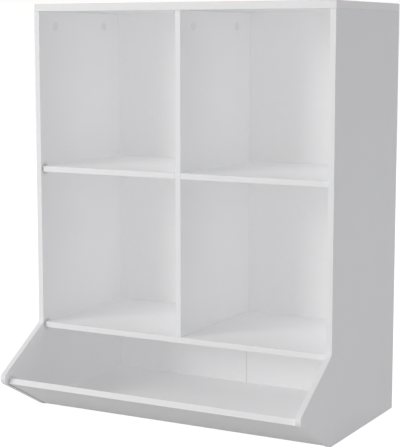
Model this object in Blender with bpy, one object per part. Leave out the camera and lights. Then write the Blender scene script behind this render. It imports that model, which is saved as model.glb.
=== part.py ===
"""Childrens shelf unit: four open cubbies over a flared toy bin.

White faced boards are held together with cam locks, cam bolts and dowels, and a thin back in two
halves slides into grooves. X runs to the right, Y to the back and Z up, in metres. The unit is laid
out with y = 0 on the upright front edges of the sides; its parent empty then puts the origin on the
floor under the middle of the whole footprint.
"""

import math

import bmesh
import bpy
from mathutils import Matrix, Vector

# Boards
BOARD = 0.012
TOP_BOARD = 0.015
BACK_BOARD = 0.003

# Cubbies and carcass
CUBBY_WIDTH = 0.315
CUBBY_HEIGHT = 0.315
LOWER_SHELF_TOP = 0.176
DEPTH = 0.320
SHELF_SETBACK = 0.005
BACK_INSET = 0.010
BACK_SEAM = 0.0008
BACK_SNUG = 0.00005
GROOVE_DEPTH = 0.005

# Flared foot of the sides: the nose corner before rounding, and the two fillets
NOSE_REACH = 0.1495
NOSE_HEIGHT = 0.0812
NOSE_RADIUS = 0.013
KINK_RADIUS = 0.015

# Toy bin: its floor, and the lip that slopes up and forward from the floor line between the sides
FLOOR_GAP = 0.005
LIP_FOOT = 0.003
LIP_ANGLE = math.radians(29.0)
LIP_LENGTH = 0.147
TOE_CLEAR = 0.0005

# Cam locks, their bolts and the caps over the ones that show
CAM_RADIUS = 0.0074
CAM_REACH = 0.030
CAM_WEB = 0.0015
CAM_FROM_FRONT = 0.053
CAM_FROM_REAR = 0.064
CAM_BELOW_LIP = 0.060
CAM_SLOT_PLAY = 0.0004
DRIVE_LENGTH = 0.0076
DRIVE_WIDTH = 0.0014
DRIVE_DEPTH = 0.0012
BOLT_THREAD_RADIUS = 0.0025
BOLT_THREAD_DEPTH = 0.0085
BOLT_STEM_RADIUS = 0.0022
BOLT_NECK_RADIUS = 0.0014
BOLT_HEAD_RADIUS = 0.0026
BOLT_HEAD_LENGTH = 0.0032
BOLT_BORE_PLAY = 0.0005
CAP_RADIUS = 0.009
CAP_RIM = 0.0006
CAP_CROWN = 0.0006
CAP_CROWN_INSET = 0.0025

# Dowels, and the screws under the foot of the divider
DOWEL_RADIUS = 0.003
DOWEL_ANCHOR = 0.008
DOWEL_REACH = 0.020
DOWEL_CHAMFER = 0.0008
SCREW_RADIUS = 0.0018
SCREW_HEAD_RADIUS = 0.0036
SCREW_HEAD_DEPTH = 0.0024
SCREW_LENGTH = 0.038
SCREW_POINT = 0.005
SCREW_TIP_RADIUS = 0.0004

# Gap between touching pieces, the softened edge of every board, and how far cutters run past a face
PLAY = 0.0003
ARRIS = 0.0006
OVERRUN = 0.002

# Facets of the round pieces, and the angle from which an edge between two of them stays sharp
SHARP_ANGLE = math.radians(50)
NOSE_STEPS = 14
KINK_STEPS = 8
ARRIS_STEPS = 2
CAM_SIDES = 16
CAP_SIDES = 28
ROD_SIDES = 8

# Colours and finish: base colour, roughness, metallic
WHITE_FACE = ((0.86, 0.86, 0.865), 0.42, 0.0)
BACK_FACE = ((0.84, 0.84, 0.845), 0.55, 0.0)
CAP_FACE = ((0.82, 0.82, 0.825), 0.45, 0.0)
ZINC = ((0.62, 0.62, 0.63), 0.38, 1.0)
STEEL = ((0.70, 0.69, 0.66), 0.32, 1.0)
BEECH = ((0.66, 0.49, 0.31), 0.65, 0.0)

# Heights, widths and depths that follow from the sizes above
lower_shelf_under = LOWER_SHELF_TOP - BOARD
half_shelf_under = LOWER_SHELF_TOP + CUBBY_HEIGHT
half_shelf_top = half_shelf_under + BOARD
half_shelf_middle = half_shelf_under + BOARD / 2
side_top = half_shelf_top + CUBBY_HEIGHT
unit_height = side_top + TOP_BOARD
unit_width = 2 * CUBBY_WIDTH + 3 * BOARD
half_width = unit_width / 2
inner_half = half_width - BOARD
bin_floor_top = FLOOR_GAP + BOARD
back_rear = DEPTH - BACK_INSET
back_front = back_rear - BACK_BOARD
shelf_rear = back_front - BACK_SNUG
cam_front = SHELF_SETBACK + CAM_FROM_FRONT
cam_rear = shelf_rear - CAM_FROM_REAR
cam_height = BOARD - CAM_WEB - 2 * PLAY

# Directions in the depth and height of the sloping lip: up its outer face, and square into the bin
lip_run = Vector((-math.cos(LIP_ANGLE), math.sin(LIP_ANGLE)))
lip_inward = Vector((lip_run.y, -lip_run.x))

RIGHT = Vector((1.0, 0.0, 0.0))
LEFT = -RIGHT
BACKWARD = Vector((0.0, 1.0, 0.0))
UP = Vector((0.0, 0.0, 1.0))
DOWN = -UP
ORIGIN = Vector((0.0, 0.0, 0.0))

cut_meshes = {}
boards = {}


def lip_point(along, depth):
    """Point of the lip's section: distance up the slope, and depth behind its outer face."""
    return Vector((LIP_FOOT, 0.0)) + lip_run * along + lip_inward * depth


def lip_plane_y(depth, height):
    """Y, at one height, of the plane that lies the given depth behind the lip's outer face."""
    return LIP_FOOT + (depth - height * lip_inward.y) / lip_inward.x


def rounded(before, corner, after, radius, steps):
    """Points of the fillet that replaces one corner of an outline."""
    to_before = (before - corner).normalized()
    to_after = (after - corner).normalized()
    half = to_before.angle(to_after) / 2
    centre = corner + (to_before + to_after).normalized() * (radius / math.sin(half))
    run = radius / math.tan(half)
    first = corner + to_before * run - centre
    last = corner + to_after * run - centre
    start = math.atan2(first.y, first.x)
    sweep = math.atan2(first.x * last.y - first.y * last.x, first.dot(last))
    points = []
    for i in range(steps + 1):
        turn = start + sweep * i / steps
        points.append(centre + Vector((math.cos(turn), math.sin(turn))) * radius)
    return points


def side_outline():
    """Outline of a side in depth and height, from the rear foot round to the front foot."""
    rear_foot = Vector((DEPTH, 0.0))
    rear_top = Vector((DEPTH, side_top - PLAY))
    front_top = Vector((0.0, side_top - PLAY))
    kink = Vector((0.0, LOWER_SHELF_TOP))
    nose_corner = Vector((-NOSE_REACH, NOSE_HEIGHT))
    front_foot = Vector((0.0, 0.0))
    points = [rear_foot, rear_top, front_top]
    points += rounded(front_top, kink, nose_corner, KINK_RADIUS, KINK_STEPS)
    points += rounded(kink, nose_corner, front_foot, NOSE_RADIUS, NOSE_STEPS)
    points.append(front_foot)
    return points


def axes_across(axis):
    """Two directions square to an axis, so that the three are right-handed."""
    guide = BACKWARD if abs(axis.z) > 0.9 else UP
    across = guide.cross(axis).normalized()
    return across, axis.cross(across)


def turned(mesh, start, axis, steps, sides):
    """Adds a closed turned body; steps are pairs of distance along the axis and radius."""
    across, up = axes_across(axis)
    rings = []
    for distance, radius in steps:
        ring = []
        for i in range(sides):
            turn = 2 * math.pi * (i + 0.5) / sides
            offset = across * math.cos(turn) + up * math.sin(turn)
            ring.append(mesh.verts.new(start + axis * distance + offset * radius))
        rings.append(ring)
    mesh.faces.new(list(reversed(rings[0])))
    mesh.faces.new(rings[-1])
    for lower, upper in zip(rings, rings[1:]):
        for i in range(sides):
            j = (i + 1) % sides
            mesh.faces.new((lower[i], lower[j], upper[j], upper[i]))


def rod(mesh, start, axis, first, last, radius, sides=ROD_SIDES):
    """Adds a plain cylinder between two distances along an axis."""
    turned(mesh, start, axis, [(first, radius), (last, radius)], sides)


def block(mesh, low, high):
    """Adds a closed box between two opposite corners."""
    corners = [Vector((low.x, low.y, 0)), Vector((high.x, low.y, 0)),
               Vector((high.x, high.y, 0)), Vector((low.x, high.y, 0))]
    bottom = [mesh.verts.new(corner + UP * low.z) for corner in corners]
    top = [mesh.verts.new(corner + UP * high.z) for corner in corners]
    mesh.faces.new(list(reversed(bottom)))
    mesh.faces.new(top)
    for i in range(4):
        j = (i + 1) % 4
        mesh.faces.new((bottom[i], bottom[j], top[j], top[i]))


def finish_of(name, look):
    """Makes the surface of one piece."""
    colour, roughness, metallic = look
    surface = bpy.data.materials.new(name + "_finish")
    surface.use_nodes = True
    shader = surface.node_tree.nodes["Principled BSDF"]
    shader.inputs["Base Color"].default_value = (*colour, 1.0)
    shader.inputs["Roughness"].default_value = roughness
    shader.inputs["Metallic"].default_value = metallic
    return surface


def mesh_data(name, mesh, look=None):
    """Turns an edited mesh into mesh data with its surface."""
    data = bpy.data.meshes.new(name)
    mesh.to_mesh(data)
    mesh.free()
    if look is not None:
        data.materials.append(finish_of(name, look))
    return data


def place(name, data, location):
    """Puts mesh data into the unit as an object."""
    piece = bpy.data.objects.new(name, data)
    bpy.context.collection.objects.link(piece)
    piece.parent = unit
    piece.location = location
    return piece


def fasten(name, data, location, along, out):
    """Places a fastener with its X axis along one direction and its Z axis out along another."""
    piece = place(name, data, location)
    turn = Matrix((along, out.cross(along), out)).transposed()
    piece.rotation_euler = turn.to_euler()
    return piece


def subtract(target, name, mesh):
    """Cuts a mesh out of an object and keeps the cutter as a hidden guide."""
    cutter = place(name, mesh_data(name, mesh), ORIGIN)
    cutter.hide_render = True
    cutter.display_type = 'WIRE'
    tool = target.modifiers.new(name, 'BOOLEAN')
    tool.operation = 'DIFFERENCE'
    tool.solver = 'EXACT'
    tool.object = cutter


def soften(mesh, edges):
    """Rounds sharp edges of a board as its edging is rounded."""
    bmesh.ops.bevel(mesh, geom=edges, offset=ARRIS, offset_type='OFFSET', segments=ARRIS_STEPS,
                    profile=0.5, affect='EDGES', clamp_overlap=True)


def board(name, low, high, look, softened=True):
    """Makes a flat board from two opposite corners, with its origin in its middle."""
    centre = (low + high) / 2
    mesh = bmesh.new()
    block(mesh, low - centre, high - centre)
    if softened:
        soften(mesh, mesh.edges[:])
    boards[name] = place(name, mesh_data(name, mesh, look), centre)


def profile_board(name, outline, left, right, look):
    """Makes a board from an outline in depth and height, extruded from left to right."""
    mesh = bmesh.new()
    reach = (right - left) / 2
    near = [mesh.verts.new((-reach, point.x, point.y)) for point in outline]
    far = [mesh.verts.new((reach, point.x, point.y)) for point in outline]
    caps = [mesh.faces.new(near), mesh.faces.new(list(reversed(far)))]
    for i in range(len(outline)):
        j = (i + 1) % len(outline)
        mesh.faces.new((near[i], far[i], far[j], near[j]))
    bmesh.ops.recalc_face_normals(mesh, faces=mesh.faces[:])
    rims = {edge for cap in caps for edge in cap.edges}
    soften(mesh, list(rims))
    boards[name] = place(name, mesh_data(name, mesh, look), RIGHT * ((left + right) / 2))


def cut(name, kind):
    """Mesh that gathers one kind of bore or groove in one board."""
    return cut_meshes.setdefault((name, kind), bmesh.new())


def cam_mesh():
    """Cam lock, its Z axis out of the board's face and its X axis away from its bolt.

    A round plug with a cross drive on top; below, a pocket holds the bolt's head behind a narrow slot.
    """
    mesh = bmesh.new()
    rod(mesh, ORIGIN, UP, -PLAY - cam_height, -PLAY, CAM_RADIUS, CAM_SIDES)
    pattern = place("cam_pattern", mesh_data("cam_pattern", mesh), ORIGIN)
    pattern.hide_render = True
    pattern.display_type = 'WIRE'
    under = -BOARD - OVERRUN
    pocket = BOLT_HEAD_RADIUS + CAM_SLOT_PLAY
    half_pocket = BOLT_HEAD_LENGTH / 2 + CAM_SLOT_PLAY
    slot = BOLT_NECK_RADIUS + CAM_SLOT_PLAY
    cuts = {
        "cam_pocket": (Vector((-half_pocket, -pocket, under)),
                       Vector((half_pocket, pocket, pocket - BOARD / 2))),
        "cam_slot": (Vector((-CAM_RADIUS - OVERRUN, -slot, under)),
                     Vector((0.0, slot, slot - BOARD / 2))),
        "cam_drive_long": (Vector((-DRIVE_LENGTH / 2, -DRIVE_WIDTH / 2, -PLAY - DRIVE_DEPTH)),
                           Vector((DRIVE_LENGTH / 2, DRIVE_WIDTH / 2, OVERRUN))),
        "cam_drive_cross": (Vector((-DRIVE_WIDTH / 2, -DRIVE_LENGTH / 2, -PLAY - DRIVE_DEPTH)),
                            Vector((DRIVE_WIDTH / 2, DRIVE_LENGTH / 2, OVERRUN))),
    }
    for name, (low, high) in cuts.items():
        mesh = bmesh.new()
        block(mesh, low, high)
        subtract(pattern, name, mesh)
    graph = bpy.context.evaluated_depsgraph_get()
    data = bpy.data.meshes.new_from_object(pattern.evaluated_get(graph))
    data.name = "cam_lock"
    data.materials.append(finish_of("cam_lock", ZINC))
    smooth_round(data)
    return data


def bolt_head_steps():
    """Neck and head of a cam bolt, as distances from the board's face that it leaves."""
    neck = CAM_REACH - CAM_RADIUS - PLAY
    head = CAM_REACH - BOLT_HEAD_LENGTH / 2
    return [(neck, BOLT_STEM_RADIUS), (neck, BOLT_NECK_RADIUS), (head, BOLT_NECK_RADIUS),
            (head, BOLT_HEAD_RADIUS), (head + BOLT_HEAD_LENGTH, BOLT_HEAD_RADIUS)]


def smooth_round(data):
    """Shades the round faces of a turned piece smooth and keeps its steps sharp."""
    data.shade_smooth()
    data.set_sharp_from_angle(angle=SHARP_ANGLE)


def turned_mesh(name, steps, sides, look):
    """Turned piece about its own Z axis."""
    mesh = bmesh.new()
    turned(mesh, ORIGIN, UP, steps, sides)
    data = mesh_data(name, mesh, look)
    smooth_round(data)
    return data


def dowel_steps(first, last):
    """Dowel between two distances, with chamfered ends."""
    tip = DOWEL_RADIUS - DOWEL_CHAMFER
    return [(first, tip), (first + DOWEL_CHAMFER, DOWEL_RADIUS),
            (last - DOWEL_CHAMFER, DOWEL_RADIUS), (last, tip)]


def seat_cam(name, shelf, point, inward, face):
    """Sets a cam lock into a board's face, and bores that board's end for the bolt's stem."""
    mouth = point + inward * CAM_REACH + face * (BOARD / 2)
    fasten(name, cam_lock, mouth, inward, face)
    rod(cut(shelf, "cam_bores"), mouth, face, CAM_WEB - BOARD, OVERRUN, CAM_RADIUS + PLAY, CAM_SIDES)
    rod(cut(shelf, "bolt_bores"), point, inward, -OVERRUN, CAM_REACH,
        BOLT_STEM_RADIUS + BOLT_BORE_PLAY)


def cam_joint(joint, spot, anchor, shelf, point, inward, face):
    """Joins the end of a board to the face of another with a bolt and a cam lock.

    The point lies on the anchor's face in the middle of the other board's thickness, inward leads
    into that board, and face is the side of it from which the cam is set.
    """
    across, _ = axes_across(inward)
    fasten(joint + "_bolt_" + spot, cam_bolt, point, across, inward)
    rod(cut(anchor, "bolt_bores"), point, inward, -BOLT_THREAD_DEPTH - PLAY, OVERRUN,
        BOLT_THREAD_RADIUS + PLAY)
    seat_cam(joint + "_cam_" + spot, shelf, point, inward, face)


def dowel_joint(name, anchor, shelf, point, inward):
    """Locates the end of a board on the face of another with one dowel."""
    across, _ = axes_across(inward)
    fasten(name, dowel, point, across, inward)
    bore = DOWEL_RADIUS + PLAY
    rod(cut(anchor, "dowel_bores"), point, inward, -DOWEL_ANCHOR - PLAY, OVERRUN, bore)
    rod(cut(shelf, "dowel_bores"), point, inward, -OVERRUN, DOWEL_REACH + PLAY, bore)


for leftover in list(bpy.data.objects):
    bpy.data.objects.remove(leftover, do_unlink=True)

# The nose is the foremost point, and the origin lies half way between it and the rear edges
outline_of_side = side_outline()
nose_tip = min(point.x for point in outline_of_side)
unit = bpy.data.objects.new("unit", None)
unit.location = (0.0, -(DEPTH + nose_tip) / 2, 0.0)
bpy.context.collection.objects.link(unit)

# Carcass: two profiled sides, the top over them, the divider and the shelves between them
profile_board("left_side_panel", outline_of_side, -half_width, -inner_half, WHITE_FACE)
profile_board("right_side_panel", outline_of_side, inner_half, half_width, WHITE_FACE)
board("top_panel", Vector((-half_width, 0.0, side_top)),
      Vector((half_width, DEPTH, unit_height)), WHITE_FACE)
board("centre_divider", Vector((-BOARD / 2, SHELF_SETBACK, LOWER_SHELF_TOP + PLAY)),
      Vector((BOARD / 2, shelf_rear, side_top - PLAY)), WHITE_FACE)
board("left_half_shelf", Vector((-inner_half + PLAY, SHELF_SETBACK, half_shelf_under)),
      Vector((-BOARD / 2 - PLAY, shelf_rear, half_shelf_top)), WHITE_FACE)
board("right_half_shelf", Vector((BOARD / 2 + PLAY, SHELF_SETBACK, half_shelf_under)),
      Vector((inner_half - PLAY, shelf_rear, half_shelf_top)), WHITE_FACE)
board("lower_shelf", Vector((-inner_half + PLAY, SHELF_SETBACK, lower_shelf_under)),
      Vector((inner_half - PLAY, shelf_rear, LOWER_SHELF_TOP)), WHITE_FACE)

# Bin: a floor whose front edge is mitred to the sloping lip, and the lip itself
floor_front = BOARD + PLAY
floor_outline = [
    Vector((shelf_rear, FLOOR_GAP)),
    Vector((shelf_rear, bin_floor_top)),
    Vector((lip_plane_y(floor_front, bin_floor_top), bin_floor_top)),
    Vector((lip_plane_y(floor_front, FLOOR_GAP), FLOOR_GAP)),
]
lip_outline = [
    Vector((lip_plane_y(0.0, TOE_CLEAR), TOE_CLEAR)),
    Vector((lip_plane_y(BOARD, TOE_CLEAR), TOE_CLEAR)),
    lip_point(LIP_LENGTH, BOARD),
    lip_point(LIP_LENGTH, 0.0),
]
profile_board("bin_floor", floor_outline, -inner_half + PLAY, inner_half - PLAY, WHITE_FACE)
profile_board("bin_front_panel", lip_outline, -inner_half + PLAY, inner_half - PLAY, WHITE_FACE)

# Fasteners that repeat share one mesh each
cam_lock = cam_mesh()
cam_bolt = turned_mesh("cam_bolt", [
    (-BOLT_THREAD_DEPTH, BOLT_THREAD_RADIUS),
    (0.0, BOLT_THREAD_RADIUS),
    (0.0, BOLT_STEM_RADIUS),
] + bolt_head_steps(), ROD_SIDES, STEEL)
cam_cap = turned_mesh("cam_cap", [
    (PLAY, CAP_RADIUS),
    (PLAY + CAP_RIM, CAP_RADIUS),
    (PLAY + CAP_RIM + CAP_CROWN, CAP_RADIUS - CAP_CROWN_INSET),
], CAP_SIDES, CAP_FACE)
dowel = turned_mesh("dowel", dowel_steps(-DOWEL_ANCHOR, DOWEL_REACH), ROD_SIDES, BEECH)

# Top joints: bolts stand in the top, and capped cams sit in the faces of the three uprights
rows = (("front", cam_front), ("rear", cam_rear))
uprights = (
    ("left", "left_side_panel", BOARD / 2 - half_width, RIGHT),
    ("middle", "centre_divider", 0.0, RIGHT),
    ("right", "right_side_panel", half_width - BOARD / 2, LEFT),
)
for hand, upright, x, face in uprights:
    for row, y in rows:
        spot = hand + "_" + row
        point = Vector((x, y, side_top))
        cam_joint("top", spot, "top_panel", upright, point, DOWN, face)
        fasten("top_cap_" + spot, cam_cap, point + DOWN * CAM_REACH + face * (BOARD / 2), DOWN, face)

# Joints along the two sides: lower shelf, half shelves and bin floor, with cams set from below
sides = (("left", "left_side_panel", -inner_half, RIGHT), ("right", "right_side_panel", inner_half, LEFT))
for hand, side, x, inward in sides:
    for row, y in rows:
        cam_joint("lower_shelf", hand + "_" + row, side, "lower_shelf",
                  Vector((x, y, lower_shelf_under + BOARD / 2)), inward, DOWN)
    half_shelf = hand + "_half_shelf"
    cam_joint("half_shelf", hand + "_outer", side, half_shelf,
              Vector((x, cam_front, half_shelf_middle)), inward, DOWN)
    dowel_joint("half_shelf_dowel_" + hand, side, half_shelf,
                Vector((x, cam_rear, half_shelf_middle)), inward)
    cam_joint("bin_floor", hand, side, "bin_floor",
              Vector((x, cam_front, FLOOR_GAP + BOARD / 2)), inward, DOWN)
    dowel_joint("bin_floor_dowel_" + hand, side, "bin_floor",
                Vector((x, cam_rear, FLOOR_GAP + BOARD / 2)), inward)

# Lip joints: one cam at each end, set from inside the bin
lip_face = Vector((0.0, lip_inward.x, lip_inward.y))
lip_section = lip_point(LIP_LENGTH - CAM_BELOW_LIP, BOARD / 2)
for hand, side, x, inward in sides:
    cam_joint("bin_front", hand, side, "bin_front_panel",
              Vector((x, lip_section.x, lip_section.y)), inward, lip_face)

# Half shelves at the divider: a double bolt with a cam in each shelf, and a dowel right through
bolt_middle = Vector((0.0, cam_front, half_shelf_middle))
right_steps = [(distance + BOARD / 2, radius) for distance, radius in bolt_head_steps()]
left_steps = [(-distance, radius) for distance, radius in reversed(right_steps)]
double_bolt = turned_mesh("double_bolt", left_steps + right_steps, ROD_SIDES, STEEL)
across_right, _ = axes_across(RIGHT)
fasten("divider_double_bolt", double_bolt, bolt_middle, across_right, RIGHT)
rod(cut("centre_divider", "shelf_bolt_bore"), bolt_middle, RIGHT, -BOARD, BOARD,
    BOLT_STEM_RADIUS + PLAY)
dowel_middle = Vector((0.0, cam_rear, half_shelf_middle))
dowel_half = BOARD / 2 + DOWEL_REACH
long_dowel = turned_mesh("long_dowel", dowel_steps(-dowel_half, dowel_half), ROD_SIDES, BEECH)
fasten("divider_through_dowel", long_dowel, dowel_middle, across_right, RIGHT)
rod(cut("centre_divider", "shelf_dowel_bore"), dowel_middle, RIGHT, -BOARD, BOARD,
    DOWEL_RADIUS + PLAY)
for hand, inward in (("left", LEFT), ("right", RIGHT)):
    half_shelf = hand + "_half_shelf"
    seat_cam("half_shelf_cam_" + hand + "_inner", half_shelf, bolt_middle + inward * (BOARD / 2),
             inward, DOWN)
    rod(cut(half_shelf, "dowel_bores"), dowel_middle, inward, 0.0, dowel_half + PLAY,
        DOWEL_RADIUS + PLAY)

# Foot of the divider: two screws driven up through the lower shelf
foot_screw = turned_mesh("foot_screw", [
    (PLAY, SCREW_HEAD_RADIUS),
    (PLAY + SCREW_HEAD_DEPTH, SCREW_RADIUS),
    (SCREW_LENGTH - SCREW_POINT, SCREW_RADIUS),
    (SCREW_LENGTH, SCREW_TIP_RADIUS),
], ROD_SIDES, STEEL)
across_up, _ = axes_across(UP)
for row, y in rows:
    seat = Vector((0.0, y, lower_shelf_under))
    fasten("divider_screw_" + row, foot_screw, seat, across_up, UP)
    head_bore = SCREW_HEAD_RADIUS + 2 * PLAY
    bore = SCREW_RADIUS + PLAY
    turned(cut("lower_shelf", "screw_bores"), seat, UP, [
        (-OVERRUN, head_bore),
        (PLAY, head_bore),
        (PLAY + SCREW_HEAD_DEPTH, bore),
        (BOARD + OVERRUN, bore),
    ], ROD_SIDES)
    rod(cut("centre_divider", "screw_bores"), seat, UP, BOARD - OVERRUN, SCREW_LENGTH + PLAY, bore)

# Back: two thin halves in grooves of the sides and the top, meeting behind the divider and held snug against it
groove_end = inner_half + GROOVE_DEPTH
groove_top = side_top + GROOVE_DEPTH
groove_front = back_front - BACK_SNUG
groove_rear = back_rear + PLAY
board("left_back_panel", Vector((-groove_end + PLAY, back_front, FLOOR_GAP)),
      Vector((-BACK_SEAM / 2, back_rear, groove_top - PLAY)), BACK_FACE, softened=False)
board("right_back_panel", Vector((BACK_SEAM / 2, back_front, FLOOR_GAP)),
      Vector((groove_end - PLAY, back_rear, groove_top - PLAY)), BACK_FACE, softened=False)
block(cut("left_side_panel", "groove"), Vector((-groove_end, groove_front, -OVERRUN)),
      Vector((-inner_half + OVERRUN, groove_rear, side_top + OVERRUN)))
block(cut("right_side_panel", "groove"), Vector((inner_half - OVERRUN, groove_front, -OVERRUN)),
      Vector((groove_end, groove_rear, side_top + OVERRUN)))
block(cut("top_panel", "groove"), Vector((-groove_end, groove_front, side_top - OVERRUN)),
      Vector((groove_end, groove_rear, groove_top)))

# The gathered bores and grooves are cut out of their boards
for (name, kind), mesh in cut_meshes.items():
    subtract(boards[name], name + "_" + kind, mesh)
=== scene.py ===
import math

import bmesh
import bpy
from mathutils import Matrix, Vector


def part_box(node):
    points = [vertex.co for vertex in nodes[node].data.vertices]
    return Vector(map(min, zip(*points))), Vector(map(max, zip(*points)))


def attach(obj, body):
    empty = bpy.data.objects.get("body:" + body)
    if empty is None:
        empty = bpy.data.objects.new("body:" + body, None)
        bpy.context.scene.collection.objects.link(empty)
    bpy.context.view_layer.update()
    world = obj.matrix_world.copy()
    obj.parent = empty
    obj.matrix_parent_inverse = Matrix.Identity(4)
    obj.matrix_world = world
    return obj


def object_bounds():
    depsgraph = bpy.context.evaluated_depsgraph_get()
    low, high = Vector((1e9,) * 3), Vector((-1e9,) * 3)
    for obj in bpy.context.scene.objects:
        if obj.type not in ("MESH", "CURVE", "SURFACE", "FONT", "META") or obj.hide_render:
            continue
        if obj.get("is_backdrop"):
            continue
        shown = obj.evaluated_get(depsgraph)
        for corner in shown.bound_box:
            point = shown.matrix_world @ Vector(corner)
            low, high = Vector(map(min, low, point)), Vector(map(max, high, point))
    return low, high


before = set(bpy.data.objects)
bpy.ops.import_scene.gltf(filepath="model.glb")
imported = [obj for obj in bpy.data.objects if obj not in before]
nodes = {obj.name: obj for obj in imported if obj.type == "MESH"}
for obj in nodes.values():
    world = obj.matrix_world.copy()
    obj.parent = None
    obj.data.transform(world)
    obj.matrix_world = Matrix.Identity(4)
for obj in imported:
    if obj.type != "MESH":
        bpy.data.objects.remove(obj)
cad_low, cad_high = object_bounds()


# Side panels.
# Two 12 mm particle boards faced with white melamine and sawn to the flared profile. A white
# plastic band is glued round their edges, and they stand on the floor and carry every other board.

UPRIGHT_FACE = (1.0, 0.0, 0.0)
MELAMINE_CLOUD = (9.0, 3.0, 0.5)  # grains per metre, detail and roughness of a noise
MELAMINE_TONES = ((0.35, (0.876, 0.876, 0.882)), (0.70, (0.886, 0.886, 0.890)))
MELAMINE_SHEEN = (0.3, 0.7, 0.50, 0.42)  # noise from and to, roughness from and to
MELAMINE_PEARL = (1500.0, 2.0, 0.6)
MELAMINE_RELIEF = (0.08, 0.0002)  # strength, and depth in metres
MELAMINE_SPECULAR = 0.35
BAND_WHITE = (0.896, 0.896, 0.901, 1.0)
BAND_LINE = (0.800, 0.800, 0.806, 1.0)
BAND_ROUGHNESS = 0.80
BAND_NORMAL_LIMIT = 0.30
BAND_LINE_LIMIT = 0.97
BAND_TURN = 0.02
# Painted shade: samples of the ambient occlusion that darkens the colour in corners and recesses.
PAINTED_SHADE_SAMPLES = 16
NO_SHADE = (1.0, 1.0, 1.0, 1.0)
# Painted shade in the recesses in front of the shelf ends: its reach, greys, and where it fades
# out.
RECESS_REACH = 0.010
RECESS_SHADE_STOPS = ((0.30, 0.42), (0.55, 0.60), (0.80, 0.86), (0.97, 1.00))
RECESS_DEPTH = 0.020
RECESS_FADE = 0.010
RECESS_TOP_FADE = 0.004
OUTER_SKIN_START = 0.002
OUTER_SKIN_END = 0.001
MIX_SHARE = 0
MIX_SOCKETS = {"FLOAT": (2, 3, 0), "RGBA": (6, 7, 2)}  # first and second input, output


def new_finish(name):
    """Empty procedural finish: material, node tree, shader, and the real places on the surface."""
    finish = bpy.data.materials.new(name)
    finish.use_nodes = True
    tree = finish.node_tree
    place = tree.nodes.new("ShaderNodeTexCoord").outputs["Object"]
    return finish, tree, tree.nodes["Principled BSDF"], place


def add_node(tree, kind, **settings):
    """Adds a node; settings name its attributes or, with a leading in_, its input sockets."""
    node = tree.nodes.new(kind)
    for key, value in settings.items():
        if key.startswith("in_"):
            node.inputs[key.removeprefix("in_").replace("_", " ")].default_value = value
        else:
            setattr(node, key, value)
    return node


def feed(tree, socket, source):
    """Links an input to another node's output, or sets it to a plain value."""
    if isinstance(source, bpy.types.NodeSocket):
        tree.links.new(source, socket)
    else:
        socket.default_value = source


def noise(tree, place, per_metre, detail, roughness):
    """Noise read at real places, so that its scale is in grains per metre."""
    node = add_node(tree, "ShaderNodeTexNoise", in_Scale=per_metre, in_Detail=detail,
                    in_Roughness=roughness)
    tree.links.new(place, node.inputs["Vector"])
    return node.outputs["Fac"]


def ramp(tree, source, stops):
    """Colour that changes with a value; each stop is a value and its colour."""
    node = tree.nodes.new("ShaderNodeValToRGB")
    elements = node.color_ramp.elements
    while len(elements) < len(stops):
        elements.new(1.0)
    for element, (position, colour) in zip(elements, stops):
        element.position = position
        element.color = (*colour, 1.0)
    tree.links.new(source, node.inputs["Fac"])
    return node.outputs["Color"]


def map_range(tree, source, start, end, low=0.0, high=1.0):
    """Value that goes from low to high while another goes from start to end."""
    node = add_node(tree, "ShaderNodeMapRange", in_From_Min=start, in_From_Max=end,
                    in_To_Min=low, in_To_Max=high)
    tree.links.new(source, node.inputs["Value"])
    return node.outputs["Result"]


def mix(tree, share, first, second, kind="RGBA", way="MIX"):
    """Goes from the first colour or number to the second as share goes from 0 to 1."""
    node = add_node(tree, "ShaderNodeMix", data_type=kind, blend_type=way)
    first_socket, second_socket, result = MIX_SOCKETS[kind]
    feed(tree, node.inputs[MIX_SHARE], share)
    feed(tree, node.inputs[first_socket], first)
    feed(tree, node.inputs[second_socket], second)
    return node.outputs[result]


def reckon(tree, operation, *sources):
    """Result of one operation on one or two values."""
    node = add_node(tree, "ShaderNodeMath", operation=operation)
    for socket, source in zip(node.inputs, sources):
        tree.links.new(source, socket)
    return node.outputs["Value"]


def split(tree, vector):
    """The three coordinates of a place or a direction."""
    node = tree.nodes.new("ShaderNodeSeparateXYZ")
    tree.links.new(vector, node.inputs["Vector"])
    return node.outputs["X"], node.outputs["Y"], node.outputs["Z"]


def relief(tree, shader, height, strength, depth):
    """Fine relief on a surface; depth is in metres."""
    bump = add_node(tree, "ShaderNodeBump", in_Strength=strength, in_Distance=depth)
    tree.links.new(height, bump.inputs["Height"])
    tree.links.new(bump.outputs["Normal"], shader.inputs["Normal"])


def painted_shade(tree, reach, stops):
    """Painted shade: grey from ambient occlusion that darkens where other boards close in on a
    surface.
    """
    openness = add_node(tree, "ShaderNodeAmbientOcclusion", samples=PAINTED_SHADE_SAMPLES,
                        in_Distance=reach)
    shade_greys = [(position, (value, value, value)) for position, value in stops]
    return ramp(tree, openness.outputs["AO"], shade_greys)


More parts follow.
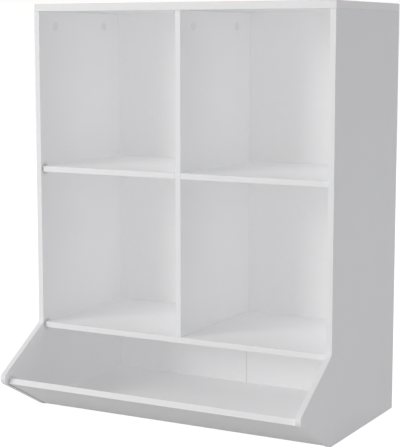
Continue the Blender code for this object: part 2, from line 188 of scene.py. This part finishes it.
def melamine_finish(name, face, shade=None):
    """White melamine on the broad faces of a board, and a plastic band on its edges.

    face is the direction square to the broad faces. The band shows where a surface turns away
    from it, and a thin glue line shows on the softened corner between the two. shade, if given,
    multiplies a painted shade (grey) into the colour of the broad faces.
    """
    finish, tree, shader, place = new_finish(name)
    cloud = noise(tree, place, *MELAMINE_CLOUD)
    facing = ramp(tree, cloud, MELAMINE_TONES)
    if shade:
        # Painted shade multiplied into the colour of the broad faces.
        facing = mix(tree, 1.0, facing, shade(tree, place), way="MULTIPLY")

    geometry = tree.nodes.new("ShaderNodeNewGeometry")
    along_face = add_node(tree, "ShaderNodeVectorMath", operation="DOT_PRODUCT")
    along_face.inputs[1].default_value = face
    tree.links.new(geometry.outputs["True Normal"], along_face.inputs[0])
    square = reckon(tree, "ABSOLUTE", along_face.outputs["Value"])
    on_edge = map_range(tree, square, BAND_NORMAL_LIMIT, BAND_NORMAL_LIMIT + BAND_TURN, 1.0, 0.0)
    on_face = map_range(tree, square, BAND_LINE_LIMIT - BAND_TURN, BAND_LINE_LIMIT)

    band = mix(tree, on_edge, BAND_LINE, BAND_WHITE)
    tree.links.new(mix(tree, on_face, band, facing), shader.inputs["Base Color"])
    sheen = map_range(tree, cloud, *MELAMINE_SHEEN)
    dullness = mix(tree, on_face, BAND_ROUGHNESS, sheen, kind="FLOAT")
    tree.links.new(dullness, shader.inputs["Roughness"])
    relief(tree, shader, noise(tree, place, *MELAMINE_PEARL), *MELAMINE_RELIEF)
    shader.inputs["Specular IOR Level"].default_value = MELAMINE_SPECULAR
    return finish


def dress(finish, *names):
    """Gives CAD pieces a finish."""
    for name in names:
        slots = nodes[name].data.materials
        slots.clear()
        slots.append(finish)


def recess_shade(tree, place):
    """Painted shade: dark lines in the narrow recesses behind the front edges, on the inner faces
    alone.
    """
    x, y, z = split(tree, place)
    recess_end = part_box("lower_shelf")[0].y + RECESS_DEPTH
    behind = map_range(tree, y, recess_end - RECESS_FADE, recess_end)
    outside = map_range(tree, reckon(tree, "ABSOLUTE", x), cad_high.x - OUTER_SKIN_START,
                        cad_high.x - OUTER_SKIN_END)
    under_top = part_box("top_panel")[0].z - RECESS_REACH
    near_top = map_range(tree, z, under_top - RECESS_TOP_FADE, under_top)
    clear = reckon(tree, "MAXIMUM", reckon(tree, "MAXIMUM", behind, outside), near_top)
    return mix(tree, clear, painted_shade(tree, RECESS_REACH, RECESS_SHADE_STOPS), NO_SHADE)


# The side panels carry painted shade in the recesses behind their front edges.
side_melamine = melamine_finish("side_melamine", UPRIGHT_FACE, recess_shade)
dress(side_melamine, "left_side_panel", "right_side_panel")


# Centre divider.
# One board from the lower shelf up to the top, the same melamine facing with its bands on the
# front and rear edges. Screws from below and cam locks at the top hold it.

divider_melamine = melamine_finish("divider_melamine", UPRIGHT_FACE)
dress(divider_melamine, "centre_divider")


# Shelves, bin floor and top.
# Flat boards, faced above and below, with banded front edges. The top lies over the uprights, the
# shelves hang between them on cam locks, and the bin floor sits just clear of the floor.

LEVEL_FACE = (0.0, 0.0, 1.0)

level_melamine = melamine_finish("level_melamine", LEVEL_FACE)
dress(level_melamine, "lower_shelf", "left_half_shelf", "right_half_shelf", "bin_floor",
      "top_panel")


# Bin front.
# A board that slopes up and forward between the flared feet, so that toys can be reached over its
# banded upper edge. Cam locks on the inside hold its ends, and its outer face shows under the lip.

LIP_SLOPE = math.radians(29.0)
LIP_FACE = (0.0, math.sin(LIP_SLOPE), math.cos(LIP_SLOPE))
# Painted shade along the ends of the outer face, where it runs in between the sides.
LIP_SHADE_REACH = 0.007
LIP_SHADE_FADE = 0.004
LIP_SHADE_STOPS = ((0.45, 0.70), (0.65, 0.84), (0.85, 0.96), (0.98, 1.00))


def lip_shade(tree, place):
    """Painted shade: a dark line where the outer face runs in between the sides, but not along the
    floor.
    """
    _, _, height = split(tree, place)
    clear_of_floor = cad_low.z + LIP_SHADE_REACH
    raised = map_range(tree, height, clear_of_floor, clear_of_floor + LIP_SHADE_FADE)
    return mix(tree, raised, NO_SHADE, painted_shade(tree, LIP_SHADE_REACH, LIP_SHADE_STOPS))


# The bin front carries painted shade at the ends of its outer face.
lip_melamine = melamine_finish("lip_melamine", LIP_FACE, lip_shade)
dress(lip_melamine, "bin_front_panel")


# Back.
# Two halves of 3 mm hardboard that slide down grooves in the sides and meet behind the divider. The
# front is rolled with white lacquer that seals most of the sawn edges; the rear is bare and brown.

LACQUER_ROLLER = (60.0, 3.0, 0.5)
LACQUER_TONES = ((0.30, (0.878, 0.878, 0.884)), (0.70, (0.888, 0.888, 0.892)))
LACQUER_ROUGHNESS = 0.55
LACQUER_FACING = (-0.55, -0.5)
HARDBOARD_FIBRE = (420.0, 6.0, 0.7)
HARDBOARD_TONES = ((0.30, (0.300, 0.196, 0.112)), (0.72, (0.450, 0.312, 0.190)))
HARDBOARD_PULP = (60.0, 5.0, 0.65)
HARDBOARD_PATCHES = ((0.36, (0.830, 0.820, 0.810)), (0.66, (1.0, 1.0, 1.0)))
HARDBOARD_ROUGHNESS = 0.85
HARDBOARD_RELIEF = (0.12, 0.0003)
HARDBOARD_SPECULAR = 0.30
SAWN_SEALED = 0.0022
SAWN_FADE = 0.0002
SAWN_EDGE = (0.630, 0.622, 0.612, 1.0)

back_finish, tree, shader, place = new_finish("lacquered_hardboard")
lacquer = ramp(tree, noise(tree, place, *LACQUER_ROLLER), LACQUER_TONES)
fibre = noise(tree, place, *HARDBOARD_FIBRE)
strands = ramp(tree, fibre, HARDBOARD_TONES)
patches = ramp(tree, noise(tree, place, *HARDBOARD_PULP), HARDBOARD_PATCHES)
bare_board = mix(tree, 1.0, strands, patches, way="MULTIPLY")
geometry = tree.nodes.new("ShaderNodeNewGeometry")
_, facing_back, _ = split(tree, geometry.outputs["True Normal"])
sawn_side = map_range(tree, facing_back, *LACQUER_FACING)
_, depth, _ = split(tree, place)
sealed_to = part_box("left_back_panel")[0].y + SAWN_SEALED
bare_side = map_range(tree, depth, sealed_to, sealed_to + SAWN_FADE)
front_and_edges = mix(tree, sawn_side, lacquer, SAWN_EDGE)
back_colour = mix(tree, bare_side, front_and_edges, bare_board)
tree.links.new(back_colour, shader.inputs["Base Color"])
back_gloss = map_range(tree, bare_side, 0.0, 1.0, LACQUER_ROUGHNESS, HARDBOARD_ROUGHNESS)
tree.links.new(back_gloss, shader.inputs["Roughness"])
relief(tree, shader, fibre, *HARDBOARD_RELIEF)
shader.inputs["Specular IOR Level"].default_value = HARDBOARD_SPECULAR
dress(back_finish, "left_back_panel", "right_back_panel")


# Cam locks.
# Die-cast zinc plugs with a cross drive, turned a half turn to pull the bolt heads in. They are
# set from under the shelves, from inside the lip, and in the uprights just below the top.

ZINC_CASTING = (700.0, 5.0, 0.65)
ZINC_TONES = ((0.30, (0.400, 0.400, 0.415)), (0.70, (0.560, 0.560, 0.575)))
ZINC_SHEEN = (0.3, 0.7, 0.52, 0.36)
ZINC_RELIEF = (0.25, 0.0003)
BARE_METAL = 1.0


def follow_grain(tree, shader, grain, tones, sheen):
    """Colour and roughness that both change with one grain."""
    tree.links.new(ramp(tree, grain, tones), shader.inputs["Base Color"])
    tree.links.new(map_range(tree, grain, *sheen), shader.inputs["Roughness"])


zinc_finish, tree, shader, place = new_finish("cast_zinc")
casting = noise(tree, place, *ZINC_CASTING)
follow_grain(tree, shader, casting, ZINC_TONES, ZINC_SHEEN)
relief(tree, shader, casting, *ZINC_RELIEF)
shader.inputs["Metallic"].default_value = BARE_METAL
dress(zinc_finish, *[name for name in nodes if "_cam_" in name])


# Cam bolts, double bolt and screws.
# Zinc-plated steel, turned and threaded. The bolts stand in the sides and the top, the double
# bolt goes through the divider, and the screws come up through the lower shelf.

STEEL_PLATING = (900.0, 4.0, 0.6)
STEEL_TONES = ((0.32, (0.520, 0.510, 0.490)), (0.68, (0.660, 0.650, 0.620)))
STEEL_SHEEN = (0.3, 0.7, 0.40, 0.26)

steel_finish, tree, shader, place = new_finish("plated_steel")
follow_grain(tree, shader, noise(tree, place, *STEEL_PLATING), STEEL_TONES, STEEL_SHEEN)
shader.inputs["Metallic"].default_value = BARE_METAL
dress(steel_finish, *[name for name in nodes if "bolt" in name or "screw" in name])


# Dowels.
# Beech pegs with chamfered ends, glued beside the cam locks. One goes right through the divider
# and locates both half shelves.

BEECH_STRETCH = (120.0, 2200.0, 2200.0)
BEECH_GRAIN = (1.0, 5.0, 0.6)
BEECH_TONES = ((0.30, (0.470, 0.310, 0.175)), (0.70, (0.620, 0.440, 0.270)))
BEECH_SHEEN = (0.3, 0.7, 0.75, 0.60)

beech_finish, tree, shader, place = new_finish("beech_peg")
stretch = add_node(tree, "ShaderNodeMapping", in_Scale=BEECH_STRETCH)
tree.links.new(place, stretch.inputs["Vector"])
beech_grain = noise(tree, stretch.outputs["Vector"], *BEECH_GRAIN)
follow_grain(tree, shader, beech_grain, BEECH_TONES, BEECH_SHEEN)
dress(beech_finish, *[name for name in nodes if "dowel" in name])


# Caps.
# Thin moulded discs of white plastic, pushed over the cam locks that would show near the top of
# the sides and the divider.

CAP_MOULD = (1200.0, 3.0, 0.5)
CAP_TONES = ((0.30, (0.800, 0.800, 0.806)), (0.70, (0.820, 0.820, 0.826)))
CAP_SHEEN = (0.3, 0.7, 0.50, 0.42)
CAP_RELIEF = (0.10, 0.0002)

cap_finish, tree, shader, place = new_finish("cap_plastic")
mould = noise(tree, place, *CAP_MOULD)
follow_grain(tree, shader, mould, CAP_TONES, CAP_SHEEN)
relief(tree, shader, mould, *CAP_RELIEF)
dress(cap_finish, *[name for name in nodes if "_cap_" in name])


# Back pins.
# Small steel pins driven through the hardboard into the rear edges of the shelves, the divider
# and the bin floor. Only their low domed heads show, from behind.

PIN_HEAD_RADIUS = 0.0021
PIN_HEAD_HEIGHT = 0.0007
PIN_SIDES = 16
PIN_DOME_STEPS = 3
PIN_SPACING = 0.075
PIN_END = 0.030
PIN_FEWEST = 2
PIN_FROM_SEAM = PIN_HEAD_RADIUS * 2.0
PIN_IN_DIVIDER = 0.5

pin_mesh = bmesh.new()
back_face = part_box("left_back_panel")[1].y


def pin_head(x, z):
    """Adds one domed head that sits on the rear face of the back."""
    rings = []
    for step in range(PIN_DOME_STEPS):
        rise = math.radians(90.0 * step / PIN_DOME_STEPS)
        radius = PIN_HEAD_RADIUS * math.cos(rise)
        y = back_face + PIN_HEAD_HEIGHT * math.sin(rise)
        ring = []
        for i in range(PIN_SIDES):
            turn = 2.0 * math.pi * i / PIN_SIDES
            spot = (x + radius * math.cos(turn), y, z + radius * math.sin(turn))
            ring.append(pin_mesh.verts.new(spot))
        rings.append(ring)
    crown = pin_mesh.verts.new((x, back_face + PIN_HEAD_HEIGHT, z))
    for lower, upper in zip(rings, rings[1:]):
        for i in range(PIN_SIDES):
            j = (i + 1) % PIN_SIDES
            pin_mesh.faces.new((lower[i], upper[i], upper[j], lower[j]))
    for i in range(PIN_SIDES):
        pin_mesh.faces.new((rings[-1][i], crown, rings[-1][(i + 1) % PIN_SIDES]))
    pin_mesh.faces.new(rings[0])


def pin_places(low, high):
    """Even places along a board's rear edge."""
    length = high - low - 2.0 * PIN_END
    count = max(PIN_FEWEST, round(length / PIN_SPACING) + 1)
    step = length / (count - 1)
    return [low + PIN_END + step * i for i in range(count)]


for shelf in ("lower_shelf", "left_half_shelf", "right_half_shelf", "bin_floor"):
    low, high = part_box(shelf)
    for x in pin_places(low.x, high.x):
        if abs(x) > PIN_FROM_SEAM:
            pin_head(x, (low.z + high.z) / 2.0)
low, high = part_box("centre_divider")
for z in pin_places(low.z, high.z):
    for x in (low.x * PIN_IN_DIVIDER, high.x * PIN_IN_DIVIDER):
        pin_head(x, z)

pin_data = bpy.data.meshes.new("back_pins")
pin_mesh.to_mesh(pin_data)
pin_mesh.free()
pin_data.shade_smooth()
pin_data.materials.append(steel_finish)
pins = bpy.data.objects.new("back_pins", pin_data)
bpy.context.scene.collection.objects.link(pins)
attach(pins, "root")


# Floor.
# A wide sheet of pale paper that the unit stands on. It throws light back up at the boards, and
# it glows towards the camera, so that it looks white and shows next to no shadow.

FLOOR_REACH = 30.0
FLOOR_PAPER = (3.0, 2.0, 0.5)
FLOOR_TONES = ((0.3, (0.640, 0.640, 0.643)), (0.7, (0.650, 0.650, 0.652)))
FLOOR_ROUGHNESS = 0.9
FLOOR_SPECULAR = 0.0
FLOOR_GLOW = 1.62
FLOOR_GLOW_SHARE = 0.55
GLOW_COLOUR = (1.0, 1.0, 1.0, 1.0)

floor_mesh = bmesh.new()
corners = [(-FLOOR_REACH, -FLOOR_REACH), (FLOOR_REACH, -FLOOR_REACH),
           (FLOOR_REACH, FLOOR_REACH), (-FLOOR_REACH, FLOOR_REACH)]
floor_mesh.faces.new([floor_mesh.verts.new((x, y, cad_low.z)) for x, y in corners])
floor_data = bpy.data.meshes.new("studio_floor")
floor_mesh.to_mesh(floor_data)
floor_mesh.free()
floor = bpy.data.objects.new("studio_floor", floor_data)
bpy.context.scene.collection.objects.link(floor)

floor_finish, tree, shader, place = new_finish("pale_floor")
paper = ramp(tree, noise(tree, place, *FLOOR_PAPER), FLOOR_TONES)
tree.links.new(paper, shader.inputs["Base Color"])
shader.inputs["Roughness"].default_value = FLOOR_ROUGHNESS
shader.inputs["Specular IOR Level"].default_value = FLOOR_SPECULAR
glow = add_node(tree, "ShaderNodeEmission", in_Color=GLOW_COLOUR, in_Strength=FLOOR_GLOW)
path = tree.nodes.new("ShaderNodeLightPath")
share = map_range(tree, path.outputs["Is Camera Ray"], 0.0, 1.0, 0.0, FLOOR_GLOW_SHARE)
glowing_paper = tree.nodes.new("ShaderNodeMixShader")
tree.links.new(share, glowing_paper.inputs["Fac"])
tree.links.new(shader.outputs["BSDF"], glowing_paper.inputs[1])
tree.links.new(glow.outputs["Emission"], glowing_paper.inputs[2])
tree.links.new(glowing_paper.outputs["Shader"], tree.nodes["Material Output"].inputs["Surface"])
floor_data.materials.append(floor_finish)
floor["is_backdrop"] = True


# Light.
# Soft white light from all round, with soft boxes at the front left, near the bin, to the right,
# and behind and above for the back and the top. The fills are even light that casts no shadow.

AMBIENT = 0.259
AMBIENT_COLOUR = (1.0, 1.0, 1.0, 1.0)
WALL_BRIGHTNESS = 1.0
SOFT_BOXES = {  # place, size and power
    "low_key": ((-3.2, -6.4, 1.7), 1.8, 49.3),
    "high_key": ((-3.2, -6.4, 2.9), 1.8, 53.9),
    "left_key": ((-4.2, -4.6, 4.3), 1.8, 75.1),
    "bin_box": ((-2.4, -2.6, 1.0), 1.0, 9.8),
    "right_box": ((6.0, 0.6, 1.2), 3.0, 29.6),
    "rear_box": ((0.0, 5.5, 4.5), 2.5, 180.0),
}
FILLS = {  # direction that the light comes from, and strength
    "left_fill": ((-9.0, -1.8, 0.0), 0.525),
    "right_fill": ((9.0, -1.0, 0.0), 0.402),
    "front_fill": ((0.0, -6.4, 6.4), 0.362),
    "high_left_fill": ((-6.0, -1.2, 6.0), 0.255),
    "low_fill": ((0.0, -2.4, -7.2), 0.248),
}
TINTS = {
    "right_box": (0.93, 0.93, 1.0),
    "right_fill": (0.985, 0.985, 1.0),
    "low_fill": (1.0, 0.95, 0.955),
}
PLAIN = (1.0, 1.0, 1.0)
AIM = Vector((0.0, 0.0, 0.40))

world = bpy.data.worlds.new("studio")
world.use_nodes = True
bpy.context.scene.world = world
tree = world.node_tree
surround = tree.nodes["Background"]
surround.inputs["Color"].default_value = AMBIENT_COLOUR
surround.inputs["Strength"].default_value = AMBIENT
white_wall = add_node(tree, "ShaderNodeBackground", in_Color=AMBIENT_COLOUR,
                      in_Strength=WALL_BRIGHTNESS)
path = tree.nodes.new("ShaderNodeLightPath")
pick = tree.nodes.new("ShaderNodeMixShader")
tree.links.new(path.outputs["Is Camera Ray"], pick.inputs["Fac"])
tree.links.new(surround.outputs["Background"], pick.inputs[1])
tree.links.new(white_wall.outputs["Background"], pick.inputs[2])
tree.links.new(pick.outputs["Shader"], tree.nodes["World Output"].inputs["Surface"])

for name, (spot, size, power) in SOFT_BOXES.items():
    lamp = bpy.data.lights.new(name, "AREA")
    lamp.shape = "SQUARE"
    lamp.size = size
    lamp.energy = power
    lamp.color = TINTS.get(name, PLAIN)
    box = bpy.data.objects.new(name, lamp)
    box.location = spot
    box.rotation_euler = (AIM - Vector(spot)).to_track_quat("-Z", "Y").to_euler()
    bpy.context.scene.collection.objects.link(box)

for name, (direction, strength) in FILLS.items():
    lamp = bpy.data.lights.new(name, "SUN")
    lamp.energy = strength
    lamp.color = TINTS.get(name, PLAIN)
    lamp.angle = 0.0
    lamp.use_shadow = False
    fill = bpy.data.objects.new(name, lamp)
    fill.location = direction
    fill.rotation_euler = Vector(direction).to_track_quat("Z", "Y").to_euler()
    bpy.context.scene.collection.objects.link(fill)


# Camera.
# Stands to the right of the unit, a little below the height of its top, and looks slightly down
# through a long lens, as in the photograph.

CAMERA_SPOT = (1.32975, -2.42345, 0.76664)
CAMERA_TURN = math.radians(28.722)
CAMERA_DIP = math.radians(7.690)
CAMERA_LENS = 111.267
CAMERA_SENSOR = 36.0
CAMERA_LEVEL = math.radians(90.0)

view = bpy.data.cameras.new("studio_camera")
view.lens = CAMERA_LENS
view.sensor_width = CAMERA_SENSOR
camera = bpy.data.objects.new("studio_camera", view)
camera.location = CAMERA_SPOT
camera.rotation_euler = (CAMERA_LEVEL - CAMERA_DIP, 0.0, CAMERA_TURN)
bpy.context.scene.collection.objects.link(camera)
bpy.context.scene.camera = camera
bpy.context.scene.view_settings.view_transform = "Standard"

low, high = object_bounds()
